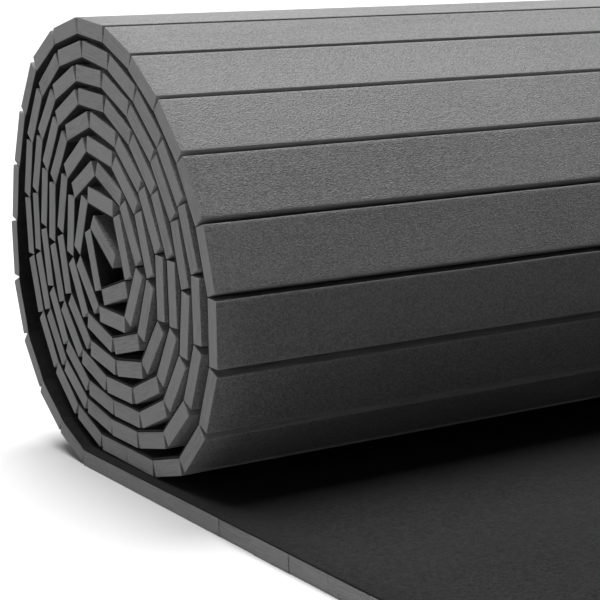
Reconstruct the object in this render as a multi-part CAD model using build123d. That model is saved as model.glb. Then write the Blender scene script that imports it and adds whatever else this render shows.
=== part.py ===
from build123d import *
import os
from math import atan2, cos, exp, hypot, pi, radians, sin, tan

# A roll-out exercise mat, partly unrolled. One long strip of closed-cell foam is slit across from its
# underside into slats, and a continuous cover on its top face joins them, so that each slit is a hinge.
# Rolled up, the cover is inside and every slit opens outward as a V. Sizes are in millimetres.
# +X runs along the roll's axis, -Y is the way the mat unrolls forward, and +Z is up.

SLAT = 114.0                # from one slit to the next
FOAM = 31.0                 # foam thickness
COVER = 2.5                 # cover thickness
KERF = 0.4                  # width of a closed slit
WIDTH = 1829.0              # width of the strip (6 ft)
DRIFT = 2.0                 # each back slat steps this far along X, so the roll sits a little inward
BASE_SLATS = 6              # slats that lie flat under the roll
FRONT_SLATS = 8             # slats that lie flat in front of it
FRONT_LIFT = 20.0           # how far each front slat can curl up, in degrees
SPIRAL_SLATS = 88           # slats wound on the smooth spiral
WRAPS = 6                   # nodes that the spiral is shared out into

# Headings of the loose slats that rise behind the roll, as degrees above +Y.
BACK_HEADINGS = (20, 33, 51, 72.5, 93, 105, 116)
# Headings of the slats folded into the core, from the last spiral slat to the free inner end.
CORE_HEADINGS = (
    -256.9, -204.3, -154.3, -118.5, -56.6, 3.2, 49, 117.5, 189.8, 251.6, 346, 433.1, 575.5,
)

# The hinge line of the rolled slats is a spiral in units of one slat, about a centre that is given from
# the first back hinge. Its outline is a circle with a small oval, a small three-sided and a small
# four-sided part, and its outermost turn hangs away from the roll at the front.
CENTRE_Y, CENTRE_Z = -1.12, 3.342
DRIFT_Y, DRIFT_Z = 0.005, 0.003
START_ANGLE = 2.003
RADIUS, PITCH = 3.498, 0.369
CORE_PITCH, CORE_FROM = 0.02, 4.0     # the turns nearest the core are wound a little wider apart
OVAL_COS, OVAL_SIN = 0.0232, -0.0634
THREE_COS, THREE_SIN = 0.0129, -0.0175
FOUR_COS = -0.0054
SAG, SAG_AT, SAG_WIDTH = 0.139, 2.67, 0.81
FLOOR, FLOOR_RISE = 0.127, 0.345    # the roll's own weight flattens each turn's lowest slats


def spiral(turn):
    """The hinge line after winding in by `turn` radians from the top of the back."""
    angle = START_ANGLE - turn
    wraps = turn / (2 * pi)
    shape = 1 + OVAL_COS * cos(2 * angle) + OVAL_SIN * sin(2 * angle)
    shape += THREE_COS * cos(3 * angle) + THREE_SIN * sin(3 * angle) + FOUR_COS * cos(4 * angle)
    radius = (RADIUS - PITCH * wraps - CORE_PITCH * max(wraps - CORE_FROM, 0.0)) * shape
    radius += SAG * exp(-(((turn - SAG_AT) / SAG_WIDTH) ** 2))
    y = CENTRE_Y + DRIFT_Y * wraps - radius * cos(angle)
    z = max(CENTRE_Z + DRIFT_Z * wraps + radius * sin(angle), FLOOR + FLOOR_RISE * wraps)
    return y * SLAT, z * SLAT + FOAM


def next_turn(start, turn):
    """The turn after `turn` at which the spiral is one slat away from `start`."""
    high = turn
    while hypot(spiral(high)[0] - start[0], spiral(high)[1] - start[1]) < SLAT:
        high += 0.05
    low = high - 0.05
    for _ in range(30):
        middle = (low + high) / 2
        if hypot(spiral(middle)[0] - start[0], spiral(middle)[1] - start[1]) < SLAT:
            low = middle
        else:
            high = middle
    return (low + high) / 2


def onward(point, heading):
    """The point one slat on from `point`."""
    return point[0] + SLAT * cos(radians(heading)), point[1] + SLAT * sin(radians(heading))


def back_points(end):
    """Hinge points of the loose back slats. The last two slats close the chain to `end`."""
    points = [(0.0, FOAM)]
    for heading in BACK_HEADINGS:
        points.append(onward(points[-1], heading))
    y, z = points[-1]
    gap = hypot(end[0] - y, end[1] - z)
    bulge = (SLAT**2 - (gap / 2) ** 2) ** 0.5
    along = ((end[0] - y) / gap, (end[1] - z) / gap)
    middle = ((y + end[0]) / 2 + bulge * along[1], (z + end[1]) / 2 - bulge * along[0])
    return points + [middle, end]


def flat_points(count, first):
    """Hinge points of flat slats, ending `first` slats in front of the first back hinge."""
    return [(-SLAT * (first + count - i), FOAM) for i in range(count + 1)]


def heading_of(points, i):
    """Heading of the slat that starts at point i."""
    (y0, z0), (y1, z1) = points[i], points[i + 1]
    return atan2(z1 - z0, y1 - y0)


def fold_at(points, i):
    """How far the strip folds at point i, in radians."""
    if i == 0 or i == len(points) - 1:
        return 0.0
    return (heading_of(points, i) - heading_of(points, i - 1)) % (2 * pi)


def wind_roll():
    """Hinge points of the roll from the top of the back to its free inner end, and the turn of each
    spiral slat."""
    points, turns = [spiral(0.0)], [0.0]
    for _ in range(SPIRAL_SLATS):
        turns.append(next_turn(points[-1], turns[-1]))
        points.append(spiral(turns[-1]))
    for heading in CORE_HEADINGS:
        points.append(onward(points[-1], heading))
    return points, turns


rolled, turns = wind_roll()
front = flat_points(FRONT_SLATS, BASE_SLATS)
base = flat_points(BASE_SLATS, 0)
back = back_points(rolled[0])
strip = front + base[1:] + back[1:] + rolled[1:]

BACK_SLATS = len(back) - 1
ROLL_AT = FRONT_SLATS + BASE_SLATS + BACK_SLATS
BACK_EDGE = max(
    max(strip[i][0], strip[i + 1][0]) + FOAM * sin(heading_of(strip, i)) for i in range(len(strip) - 1)
)
SHIFT_X = -(WIDTH + DRIFT * BACK_SLATS) / 2
SHIFT_Y = -(strip[0][0] + KERF / 2 + BACK_EDGE) / 2


def prism(section, x):
    """A straight bar along X with the given (y, z) section, starting at x."""
    corners = [Vector(x + SHIFT_X, y + SHIFT_Y, z) for y, z in section]
    return Solid.extrude(Face(Wire.make_polygon(corners, close=True)), Vector(WIDTH, 0, 0))


def bar(i, inner, outer_side, trim_in=(0.0, 0.0)):
    """Section of slat i between two distances outward of its hinge line, its ends cut back by half a
    kerf, and by trim_in more on the inner side."""
    (y, z), a = strip[i], heading_of(strip, i)
    along, out = (cos(a), sin(a)), (sin(a), -cos(a))
    ends = (KERF / 2, SLAT - KERF / 2)

    def at(s, n):
        return y + along[0] * s + out[0] * n, z + along[1] * s + out[1] * n

    return [
        at(ends[0] + trim_in[0], inner),
        at(ends[1] - trim_in[1], inner),
        at(ends[1], outer_side),
        at(ends[0], outer_side),
    ]


def step_x(i):
    """Offset of slat i along X."""
    return DRIFT * min(max(i - FRONT_SLATS - BASE_SLATS + 1, 0), BACK_SLATS)


def foam_slat(i):
    return prism(bar(i, 0.0, FOAM), step_x(i))


def cover_slat(i):
    """The cover over slat i, mitred where the strip folds or can fold."""
    lift = radians(FRONT_LIFT)
    folds = [max(fold_at(strip, k), lift if k <= FRONT_SLATS else 0.0) for k in (i, i + 1)]
    trims = tuple(COVER * tan(min(fold, 2.7) / 2) for fold in folds)
    return prism(bar(i, -COVER, 0.0, trims), step_x(i))


def save(name, solids):
    solids = list(solids)
    export_step(solids[0] if len(solids) == 1 else Compound(solids), f"parts/{name}.step")


def save_slat(name, numbers):
    """One foam node and one cover node for a run of slats that move together."""
    save(f"{name}_foam", [foam_slat(i) for i in numbers])
    save(f"{name}_cover", [cover_slat(i) for i in numbers])


os.makedirs("parts", exist_ok=True)
first_base = FRONT_SLATS
for i in range(FRONT_SLATS):
    save_slat(f"front_{FRONT_SLATS - i}", [i])
save_slat("base", range(first_base, first_base + BASE_SLATS))
for i in range(BACK_SLATS):
    save_slat(f"back_{i + 1}", [first_base + BASE_SLATS + i])

# The roll is shared out by whole turns, so that each node is one wrap, and the folded core is the last.
by_wrap = [[] for _ in range(WRAPS)]
for k in range(SPIRAL_SLATS):
    by_wrap[min(int(turns[k] / (2 * pi)), WRAPS - 1)].append(ROLL_AT + k)
by_wrap.append([ROLL_AT + SPIRAL_SLATS + k for k in range(len(CORE_HEADINGS))])
for k, numbers in enumerate(by_wrap):
    save_slat(f"roll_wrap_{k + 1}", numbers)
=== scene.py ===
"""Looks of a roll-out foam exercise mat, partly unrolled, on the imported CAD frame. Sizes are in metres."""

import math
import random

import bmesh
import bpy
import numpy as np
from mathutils import Matrix, Vector, noise


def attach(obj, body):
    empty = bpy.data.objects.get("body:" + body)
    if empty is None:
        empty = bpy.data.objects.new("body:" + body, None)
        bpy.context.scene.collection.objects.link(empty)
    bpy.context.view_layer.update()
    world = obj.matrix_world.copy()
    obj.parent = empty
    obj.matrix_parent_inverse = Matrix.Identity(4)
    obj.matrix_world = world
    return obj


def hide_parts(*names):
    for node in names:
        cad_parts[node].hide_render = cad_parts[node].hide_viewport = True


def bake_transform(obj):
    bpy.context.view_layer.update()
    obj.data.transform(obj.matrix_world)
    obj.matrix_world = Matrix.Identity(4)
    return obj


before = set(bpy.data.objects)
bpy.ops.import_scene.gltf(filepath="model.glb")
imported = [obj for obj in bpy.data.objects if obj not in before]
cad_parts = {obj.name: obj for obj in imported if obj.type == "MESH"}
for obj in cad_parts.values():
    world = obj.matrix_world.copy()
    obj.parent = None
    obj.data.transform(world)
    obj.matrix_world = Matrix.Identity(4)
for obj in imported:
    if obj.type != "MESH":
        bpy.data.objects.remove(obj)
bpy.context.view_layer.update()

# ---------------------------------------------------------------- sizes

FRONT_SLATS = 8
BACK_SLATS = 9
ROLL_WRAPS = 7
COVER = 0.0025              # how far the cover stands on the foam
BEDDED = 0.0012             # and how deep it is pressed into it
EDGE = 0.0006               # softened edge of the cover
SKIN_EDGE = 0.0012          # rounding where a slit meets the foam's outer face
CUT_EDGE = 0.0005           # rounding of the slats' cut ends
MOUTH = 0.0010              # how far a slit widens at its mouth, where the roll holds it open
CLOSED = 0.00015            # and how far a slit in the flat run closes
SLAT_STEP = 0.0007          # how far one slat's cut end stands from the next
SOFTNESS = 0.0003           # long, low waves of the foam's outer face
SLIT_WANDER = 0.7           # how unevenly a slit is open along its length, as a share
FULL_FOLD = 2.7             # the cover's mitre grows no further beyond this fold, in radians
JOIN = 0.14                 # share of a slat near a hinge over which the cover shifts to the next slat
NAP_WAVE, NAP_RIPPLE = 0.08, 0.05      # long and short unevenness of the cover's top, in thicknesses
FOAM_COLUMNS = 30           # divisions across the mat's width
COVER_COLUMNS = 32
SAME_POINT = 1e-5           # CAD points closer than this are one corner
SAME_FACE = 1e-4            # and corners this close to an end are on its end face
FLOOR_RADIUS = 60
RIM_REACH, RIM_HEIGHT = 1.4, 7         # the floor's rim, as a share of its radius, and in metres
FLOOR_DROP = 0.0005         # the floor lies this far under the mat
FLOOR_GREY = 0.37


# ---------------------------------------------------------------- the slats, read from the CAD nodes

def loose_parts(mesh):
    """The corner points of each separate solid in a mesh, always in the same order."""
    bm = bmesh.new()
    bm.from_mesh(mesh)
    bmesh.ops.remove_doubles(bm, verts=bm.verts, dist=SAME_POINT)
    bm.verts.index_update()
    seen, found = set(), []
    for corner in bm.verts:
        if corner.index in seen:
            continue
        seen.add(corner.index)
        part, front = [], [corner]
        while front:
            v = front.pop()
            part.append(v.co.copy())
            for e in v.link_edges:
                other = e.other_vert(v)
                if other.index not in seen:
                    seen.add(other.index)
                    front.append(other)
        found.append(part)
    bm.free()
    return found


def middle(points):
    return sum(points, Vector()) / len(points)


class Slat:
    """One foam slat. It runs from start, along its length on the strip, and out is away from the cover.
    Both directions lie in the YZ plane, and x0 to x1 is its width."""

    def __init__(self, foam, cover, node, body):
        self.node, self.body = node, body
        self.x0, self.x1 = min(p.x for p in foam), max(p.x for p in foam)
        section = [p for p in foam if p.x < self.x0 + SAME_FACE]
        centre = middle(section)
        toward = centre - middle([p for p in cover if p.x < self.x0 + SAME_FACE])
        sides = [(section[a] - section[b]).normalized() for a in range(4) for b in range(4) if a != b]
        self.out = max(sides, key=lambda d: d.dot(toward))
        self.along = Vector((0, -self.out.z, self.out.y))
        run = [p.dot(self.along) for p in section]
        depth = [p.dot(self.out) for p in section]
        self.length, self.foam = max(run) - min(run), max(depth) - min(depth)
        flat = Vector((0, centre.y, centre.z))
        self.start = flat - self.along * self.length / 2 - self.out * self.foam / 2

    def at(self, s, n):
        return self.start + self.along * s + self.out * n

    @property
    def end(self):
        return self.at(self.length, 0)


def read_node(name, body):
    foams = loose_parts(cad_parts[name + "_foam"].data)
    covers = loose_parts(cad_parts[name + "_cover"].data)
    made = []
    for foam in foams:
        cover = min(covers, key=lambda c: (middle(c) - middle(foam)).length)
        made.append(Slat(foam, cover, name, body))
    return made


NODES = [(f"front_{k}", f"front_{k}") for k in range(FRONT_SLATS, 0, -1)]
NODES += [("base", "base")]
NODES += [(f"back_{k}", f"back_{k}") for k in range(1, BACK_SLATS + 1)]
NODES += [(f"roll_wrap_{k}", "roll") for k in range(1, ROLL_WRAPS + 1)]

strip = []
for node, body in NODES:
    waiting = read_node(node, body)
    while waiting:
        last = strip[-1].end if strip else Vector((0, -10, 0))
        following = min(waiting, key=lambda s: (s.start - last).length)
        strip.append(following)
        waiting.remove(following)

HINGES = [strip[0].start]
HINGES += [(a.end + b.start) / 2 for a, b in zip(strip, strip[1:])]
HINGES += [strip[-1].end]


def fold_at(i):
    """How far the strip folds towards its cover at hinge i."""
    if i == 0 or i == len(strip):
        return 0.0
    a, b = strip[i - 1].along, strip[i].along
    turn = math.atan2(a.y * b.z - a.z * b.y, a.dot(b))
    return turn + 2 * math.pi if turn < -1 else max(turn, 0.0)


# ---------------------------------------------------------------- materials

def new_material(name, roughness, specular):
    material = bpy.data.materials.new(name)
    material.use_nodes = True
    shader = material.node_tree.nodes["Principled BSDF"]
    shader.inputs["Roughness"].default_value = roughness
    shader.inputs["Specular IOR Level"].default_value = specular
    return material, material.node_tree, shader


def point(tree, scale):
    """The strip's own coordinates (along, depth, width), each stretched by scale."""
    source = tree.nodes.new("ShaderNodeAttribute")
    source.attribute_name = "strip_point"
    mapping = tree.nodes.new("ShaderNodeMapping")
    mapping.inputs["Scale"].default_value = scale
    tree.links.new(source.outputs["Vector"], mapping.inputs["Vector"])
    return mapping.outputs["Vector"]


def grain(tree, scale, detail=3.0, rough=0.6):
    made = tree.nodes.new("ShaderNodeTexNoise")
    made.inputs["Scale"].default_value = 1.0
    made.inputs["Detail"].default_value = detail
    made.inputs["Roughness"].default_value = rough
    tree.links.new(point(tree, scale), made.inputs["Vector"])
    return made.outputs["Fac"]


def pebbles(tree, scale):
    made = tree.nodes.new("ShaderNodeTexVoronoi")
    made.feature = "SMOOTH_F1"
    made.inputs["Scale"].default_value = 1.0
    made.inputs["Smoothness"].default_value = 0.6
    tree.links.new(point(tree, scale), made.inputs["Vector"])
    return made.outputs["Distance"]


def span(tree, value, low, high, to_low, to_high):
    """value from low..high mapped smoothly to to_low..to_high."""
    made = tree.nodes.new("ShaderNodeMapRange")
    made.interpolation_type = "SMOOTHSTEP"
    made.inputs["From Min"].default_value = low
    made.inputs["From Max"].default_value = high
    made.inputs["To Min"].default_value = to_low
    made.inputs["To Max"].default_value = to_high
    tree.links.new(value, made.inputs["Value"])
    return made.outputs["Result"]


def math_node(tree, operation, a, b):
    made = tree.nodes.new("ShaderNodeMath")
    made.operation = operation
    for socket, value in zip(made.inputs, (a, b)):
        if isinstance(value, (int, float)):
            socket.default_value = value
        else:
            tree.links.new(value, socket)
    return made.outputs["Value"]


def attribute(tree, name):
    made = tree.nodes.new("ShaderNodeAttribute")
    made.attribute_name = name
    return made.outputs["Fac"]


def shade(tree, dark, light, factor):
    made = tree.nodes.new("ShaderNodeMix")
    made.data_type = "RGBA"
    made.inputs["A"].default_value = (*dark, 1)
    made.inputs["B"].default_value = (*light, 1)
    tree.links.new(factor, made.inputs["Factor"])
    return made.outputs["Result"]


def bump(tree, shader, height, distance, strength):
    made = tree.nodes.new("ShaderNodeBump")
    made.inputs["Distance"].default_value = distance
    made.inputs["Strength"].default_value = strength
    tree.links.new(height, made.inputs["Height"])
    tree.links.new(made.outputs["Normal"], shader.inputs["Normal"])


def grey(value):
    return value, value, value


def skin_material():
    """The foam's outer face: a satin skin with a fine leathery grain."""
    material, tree, shader = new_material("foam_skin", 0.7, 0.2)
    broad = grain(tree, (6, 6, 3), 2)
    fine = grain(tree, (300, 300, 240), 4, 0.8)
    cells = pebbles(tree, (430, 430, 330))
    scuff = grain(tree, (60, 60, 4), 4, 0.7)
    tone = math_node(tree, "MULTIPLY", broad, 0.35)
    tone = math_node(tree, "ADD", tone, span(tree, fine, 0.33, 0.67, 0.0, 0.7))
    tone = math_node(tree, "ADD", tone, math_node(tree, "MULTIPLY", attribute(tree, "tone"), 0.3))
    tone = math_node(tree, "ADD", tone, span(tree, scuff, 0.62, 0.8, 0.0, 0.25))
    # painted highlight on the slits' lips, and paler cut ends of the slats
    tone = math_node(tree, "ADD", tone, math_node(tree, "MULTIPLY", attribute(tree, "worn"), 0.35))
    tree.links.new(shade(tree, grey(0.030), grey(0.125), tone), shader.inputs["Base Color"])
    tree.links.new(span(tree, scuff, 0.3, 0.8, 0.64, 0.76), shader.inputs["Roughness"])
    height = math_node(tree, "ADD", math_node(tree, "MULTIPLY", cells, 0.7), fine)
    bump(tree, shader, height, 0.002, 1.0)
    return material


def cut_material():
    """The foam where a knife went through it: fine lines run along the strip."""
    material, tree, shader = new_material("foam_cut", 0.8, 0.3)
    lines = grain(tree, (16, 420, 16), 3, 0.8)
    cells = grain(tree, (500, 500, 500), 3, 0.8)
    broad = grain(tree, (14, 14, 3), 2)
    tone = span(tree, lines, 0.3, 0.7, 0.0, 0.65)
    tone = math_node(tree, "ADD", tone, span(tree, cells, 0.3, 0.7, 0.0, 0.4))
    tone = math_node(tree, "ADD", tone, math_node(tree, "MULTIPLY", broad, 0.2))
    tone = math_node(tree, "ADD", tone, math_node(tree, "MULTIPLY", attribute(tree, "tone"), 0.25))
    # painted highlight on the slits' lips, and paler cut ends of the slats
    tone = math_node(tree, "ADD", tone, math_node(tree, "MULTIPLY", attribute(tree, "worn"), 0.3))
    tree.links.new(shade(tree, grey(0.025), grey(0.125), tone), shader.inputs["Base Color"])
    tree.links.new(span(tree, cells, 0.3, 0.7, 0.7, 0.92), shader.inputs["Roughness"])
    bump(tree, shader, math_node(tree, "ADD", lines, math_node(tree, "MULTIPLY", cells, 0.6)), 0.0012, 0.8)
    return material


def cover_material():
    """The cover: a dense, short, near-black nap."""
    material, tree, shader = new_material("cover_nap", 0.95, 0.03)
    shader.inputs["Sheen Weight"].default_value = 0.02
    shader.inputs["Sheen Roughness"].default_value = 0.5
    fibres = grain(tree, (600, 600, 450), 4, 0.8)
    clumps = grain(tree, (170, 170, 140), 3, 0.7)
    broad = grain(tree, (5, 5, 4), 3)
    lint = grain(tree, (420, 420, 420), 1)
    tone = span(tree, fibres, 0.3, 0.7, 0.0, 0.6)
    tone = math_node(tree, "ADD", tone, span(tree, clumps, 0.3, 0.7, 0.0, 0.4))
    tone = math_node(tree, "ADD", tone, math_node(tree, "MULTIPLY", broad, 0.2))
    tone = math_node(tree, "ADD", tone, span(tree, lint, 0.78, 0.86, 0.0, 1.2))
    tree.links.new(shade(tree, grey(0.0005), grey(0.0125), tone), shader.inputs["Base Color"])
    tree.links.new(span(tree, clumps, 0.3, 0.7, 0.88, 1.0), shader.inputs["Roughness"])
    bump(tree, shader, math_node(tree, "ADD", fibres, math_node(tree, "MULTIPLY", clumps, 0.8)), 0.0006, 0.7)
    return material


SKIN, CUT, NAP = skin_material(), cut_material(), cover_material()


# ---------------------------------------------------------------- mesh helpers

class Builder:
    """Collects rings of points into one mesh, with the strip's coordinates on every point."""

    def __init__(self):
        self.points, self.strip_points, self.worn, self.tones = [], [], [], []
        self.faces, self.kinds, self.smooth = [], [], []

    def add(self, co, strip_point, worn=0.0, tone=0.5):
        self.points.append(tuple(co))
        self.strip_points.append(strip_point)
        self.worn.append(worn)
        self.tones.append(tone)
        return len(self.points) - 1

    def face(self, corners, kind=0, smooth=True):
        self.faces.append(tuple(corners))
        self.kinds.append(kind)
        self.smooth.append(smooth)

    def bridge(self, a, b, kinds=None):
        """Quads between two closed rings."""
        for k in range(len(a)):
            j = (k + 1) % len(a)
            self.face((a[k], a[j], b[j], b[k]), kinds[k] if kinds else 0)

    def make(self, name, materials):
        mesh = bpy.data.meshes.new(name)
        mesh.from_pydata(self.points, [], self.faces)
        for material in materials:
            mesh.materials.append(material)
        mesh.polygons.foreach_set("material_index", self.kinds)
        mesh.polygons.foreach_set("use_smooth", self.smooth)
        spots = mesh.attributes.new("strip_point", "FLOAT_VECTOR", "POINT")
        spots.data.foreach_set("vector", np.array(self.strip_points, np.float32).ravel())
        for label, values in (("worn", self.worn), ("tone", self.tones)):
            made = mesh.attributes.new(label, "FLOAT", "POINT")
            made.data.foreach_set("value", np.array(values, np.float32))
        bm = bmesh.new()
        bm.from_mesh(mesh)
        bmesh.ops.recalc_face_normals(bm, faces=bm.faces)
        for face in bm.faces:
            if not face.smooth:
                for edge in face.edges:
                    edge.smooth = False
        bm.to_mesh(mesh)
        bm.free()
        obj = bpy.data.objects.new(name, mesh)
        bpy.context.scene.collection.objects.link(obj)
        return obj


def wave(*at):
    """A smooth random value from about -1 to 1."""
    return noise.noise(Vector(at))


def columns(width, edge, count):
    """Distances across the width, with one close to each end for the softened edge."""
    return [edge + (width - 2 * edge) * k / count for k in range(count + 1)]


# ---------------------------------------------------------------- foam

def foam_ring(length, foam):
    """The slat's section as points (s, n, kind, and how much lighter the point is painted): a rounded bar.
    kind 0 is skin and 1 is cut. The corner where a slit meets the skin is painted lighter, a painted
    highlight on the slit's lip.
    """
    r, c = SKIN_EDGE, CUT_EDGE
    side = [(0.0, foam * f, 1, 0.0) for f in (0.3, 0.6)]
    # the corner where a slit meets the skin is painted lighter: a painted highlight on the slit's lip
    corner = [(0.0, foam - r, 1, 0.6), (0.3 * r, foam - 0.3 * r, 0, 1.0), (r, foam, 0, 0.6)]
    face = [(length * f, foam, 0, 0.0) for f in (0.06, 0.2, 0.4, 0.6, 0.8)]
    start = [(c, BEDDED, 1, 0.0), (0.0, BEDDED + c, 1, 0.0)] + side + corner
    far = [(length - s, n, kind, worn) for s, n, kind, worn in reversed(start)]
    under = [(length * f, BEDDED, 1, 0.0) for f in (0.66, 0.33)]
    return start + face + [(length * 0.94, foam, 0, 0.0)] + far + under


def add_slat(builder, slat, number):
    """One foam slat as a softly uneven bar."""
    dice = random.Random(number)
    tone = dice.random()
    shift = SLAT_STEP * (dice.random() - 0.5) * 2
    spread = MOUTH if slat.body == "roll" or slat.node.startswith("back") else -CLOSED
    ring = foam_ring(slat.length, slat.foam)
    width = slat.x1 - slat.x0
    kinds = [0 if a[2] == 0 or b[2] == 0 else 1 for a, b in zip(ring, ring[1:] + ring[:1])]
    rings = []
    stations = [0.0] + columns(width, CUT_EDGE, FOAM_COLUMNS) + [width]
    for k, x in enumerate(stations):
        cap = k in (0, len(stations) - 1)
        made = []
        for s, n, kind, worn in ring:
            swell = SOFTNESS * wave(s * 14, x * 3.1, number * 3.7) if kind == 0 else 0.0
            mouth = 0.0
            if n > slat.foam * 0.5:
                high = n / slat.foam
                end = 1 if s < slat.length / 2 else -1
                if min(s, slat.length - s) < 2 * SKIN_EDGE:
                    mouth = end * spread * high * (1 + SLIT_WANDER * wave(x * 5, end * 4.1, number * 1.9))
            inset_s = (1 if s < slat.length / 2 else -1) * (CUT_EDGE if cap else 0)
            inset_n = (1 if n < slat.foam / 2 else -1) * (CUT_EDGE if cap else 0)
            co = slat.at(s + mouth + inset_s, n + swell + inset_n)
            co.x = slat.x0 + x + shift
            spot = (number * slat.length + s, n, x)
            # the cut-end rings are painted paler, so the cut ends and their rounded edges come out lighter
            made.append(builder.add(co, spot, max(worn, 0.6 if cap else 0.0), tone))
        rings.append(made)
    for a, b in zip(rings, rings[1:]):
        builder.bridge(a, b, kinds)
    builder.face(rings[0], 1, False)
    builder.face(rings[-1], 1, False)


def make_foam(node, body):
    builder = Builder()
    for number, slat in enumerate(strip):
        if slat.node == node:
            add_slat(builder, slat, number)
    obj = builder.make(f"foam_{node}", [SKIN, CUT])
    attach(obj, body)
    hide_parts(f"{node}_foam")
    return obj


foams = {node: make_foam(node, body) for node, body in NODES}


# ---------------------------------------------------------------- cover

STATIONS = (0.0, 0.02, 0.06, 0.14, 0.3, 0.5, 0.7, 0.86, 0.94, 0.98, 1.0)    # along one slat


def cover_at(i, f):
    """The cover's underside and top at fraction f of slat i, and the strip's offset along X there."""
    slat = strip[i]
    a, b = HINGES[i], HINGES[i + 1]
    length = (b - a).length
    first = f < 0.5
    hinge = i if first else i + 1
    trim = COVER * math.tan(min(fold_at(hinge), FULL_FOLD) / 2)
    near = f * length if first else (1 - f) * length
    near = trim + near * (1 - trim / (length / 2))
    s = near if first else length - near
    under = a.lerp(b, f) + slat.out * BEDDED
    top = a + slat.along * s - slat.out * COVER
    other = strip[max(i - 1, 0)] if first else strip[min(i + 1, len(strip) - 1)]
    share = 0.5 * max(0.0, 1 - (f if first else 1 - f) / JOIN)
    x0 = slat.x0 * (1 - share) + other.x0 * share
    return under, top, x0


def cover_ring(builder, i, f):
    """One closed ring of points round the cover, across the strip's width."""
    under, top, x0 = cover_at(i, f)
    width = strip[i].x1 - strip[i].x0
    rise = top - under
    along = (i + f) * strip[i].length
    ring = []
    for x in columns(width, EDGE, COVER_COLUMNS):
        lift = NAP_WAVE * wave(along * 9, x * 6, 1.3) + NAP_RIPPLE * wave(along * 31, x * 27, 7.7)
        co = under + rise * (1 + lift)
        co.x = x0 + x
        ring.append(builder.add(co, (along, -COVER, x)))
    for x, h in ((width, 0.75), (width, 0.2), (width - EDGE, -0.05), (EDGE, -0.05), (0, 0.2), (0, 0.75)):
        co = under + rise * h
        co.x = x0 + x
        ring.append(builder.add(co, (along, -COVER * h, x), 0.5))
    return ring


def cover_piece(name, first, last, nodes):
    """The cover from strip position first to last, in slats."""
    builder = Builder()
    stops = []
    for i in range(int(first), min(int(math.ceil(last)), len(strip))):
        for f in STATIONS[:-1]:
            if first - 1e-6 <= i + f <= last + 1e-6:
                stops.append((i, f))
    end = int(math.ceil(last)) - 1
    if last - end > STATIONS[-2]:
        stops.append((end, 1.0))
    rings = [cover_ring(builder, i, f) for i, f in stops]
    for a, b in zip(rings, rings[1:]):
        builder.bridge(a, b)
    builder.face(rings[0], 0, False)
    builder.face(rings[-1], 0, False)
    obj = builder.make(name, [NAP])
    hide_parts(*nodes)
    return obj


def first_of(node):
    return next(i for i, slat in enumerate(strip) if slat.node == node)


def make_covers():
    """The cover is one sheet. It is cut at the middle of slats, where nothing bends, so that each piece
    outside the roll and the base crosses one hinge."""
    base, roll = first_of("base"), first_of("roll_wrap_1")
    back = first_of("back_1")
    for hinge in [*range(1, base + 1), *range(back, roll + 1)]:
        before, after = strip[hinge - 1], strip[hinge]
        first = 0.0 if hinge == 1 else hinge - 0.5
        named = before.node if hinge <= base else after.node
        label = "cover_" + named if hinge < roll else "cover_roll_start"
        piece = cover_piece(label, first, hinge + 0.5, [f"{named}_cover"])
        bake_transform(piece)
    flat = cover_piece("cover_base", base + 0.5, back - 0.5, ["base_cover"])
    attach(flat, "base")
    starts = [first_of(f"roll_wrap_{k}") + 0.5 for k in range(1, ROLL_WRAPS + 1)]
    starts.append(float(len(strip)))
    for k, (first, last) in enumerate(zip(starts, starts[1:]), 1):
        node = f"roll_wrap_{k}"
        wrap = cover_piece(f"cover_{node}", first, last, [f"{node}_cover"])
        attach(wrap, "roll")


make_covers()


# ---------------------------------------------------------------- camera

CAMERA_AT = (-2.035, -2.213, 0.782)
YAW, PITCH, ROLL = 29.41, 9.08, -2.63      # degrees: to the right of +Y, down, and about the view
LENS, SENSOR = 97.68, 36.0                 # millimetres


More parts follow.
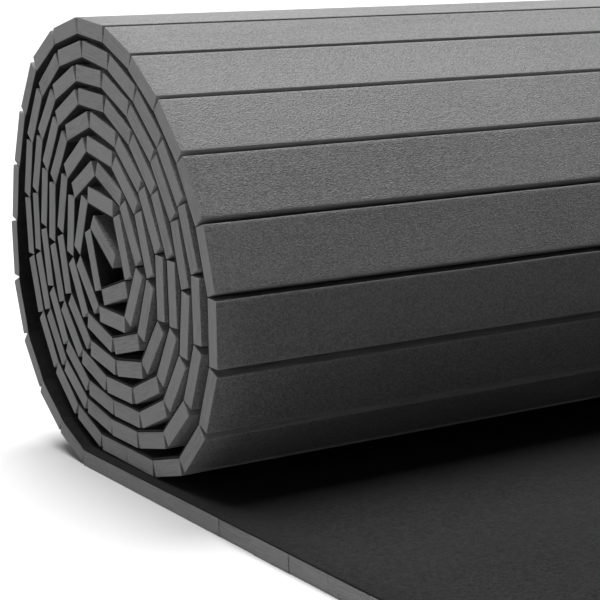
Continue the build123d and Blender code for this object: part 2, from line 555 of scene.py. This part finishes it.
def make_camera():
    data = bpy.data.cameras.new("camera")
    data.sensor_width = SENSOR
    data.lens = LENS
    camera = bpy.data.objects.new("camera", data)
    turn = Matrix.Rotation(math.radians(-YAW), 3, "Z") @ Matrix.Rotation(math.radians(90 - PITCH), 3, "X")
    turn = turn @ Matrix.Rotation(math.radians(ROLL), 3, "Z")
    camera.matrix_world = Matrix.Translation(CAMERA_AT) @ turn.to_4x4()
    bpy.context.scene.collection.objects.link(camera)
    bpy.context.scene.camera = camera


make_camera()


# ---------------------------------------------------------------- floor and light

def make_floor():
    """A wide plain floor that turns up a little at its far rim."""
    mesh = bpy.data.meshes.new("floor")
    bm = bmesh.new()
    bmesh.ops.create_circle(bm, cap_ends=True, segments=96, radius=FLOOR_RADIUS)
    rim = bmesh.ops.extrude_edge_only(bm, edges=[e for e in bm.edges if e.is_boundary])
    for v in rim["geom"]:
        if isinstance(v, bmesh.types.BMVert):
            v.co *= RIM_REACH
            v.co.z = RIM_HEIGHT
    bm.to_mesh(mesh)
    bm.free()
    material, _, shader = new_material("floor_white", 0.9, 0.1)
    shader.inputs["Base Color"].default_value = (*grey(FLOOR_GREY), 1)
    mesh.materials.append(material)
    floor = bpy.data.objects.new("floor", mesh)
    floor.location.z = -FLOOR_DROP
    bpy.context.scene.collection.objects.link(floor)


def soft_sun(name, toward, spread, strength):
    """Light that comes evenly from a wide part of the studio, going toward a direction."""
    data = bpy.data.lights.new(name, "SUN")
    data.energy = strength
    data.angle = math.radians(spread)
    light = bpy.data.objects.new(name, data)
    light.rotation_mode = "QUATERNION"
    light.rotation_quaternion = Vector(toward).to_track_quat("-Z", "Y")
    bpy.context.scene.collection.objects.link(light)


def make_world():
    """The studio's own light: bright behind the roll and dim in front of it."""
    world = bpy.data.worlds.new("studio")
    world.use_nodes = True
    tree = world.node_tree
    spot = tree.nodes.new("ShaderNodeTexCoord")
    split = tree.nodes.new("ShaderNodeSeparateXYZ")
    tree.links.new(spot.outputs["Generated"], split.inputs["Vector"])
    strength = span(tree, split.outputs["Y"], -0.2, 0.9, 0.03, 0.8)
    tree.links.new(strength, tree.nodes["Background"].inputs["Strength"])
    tree.nodes["Background"].inputs["Color"].default_value = (1, 1, 1, 1)
    bpy.context.scene.world = world


make_floor()
make_world()
soft_sun("overhead", (-0.1, -0.22, -1.0), 46, 11.0)
soft_sun("left", (1.0, 0.0, -0.02), 10, 3.0)
bpy.context.scene.view_settings.view_transform = "Standard"
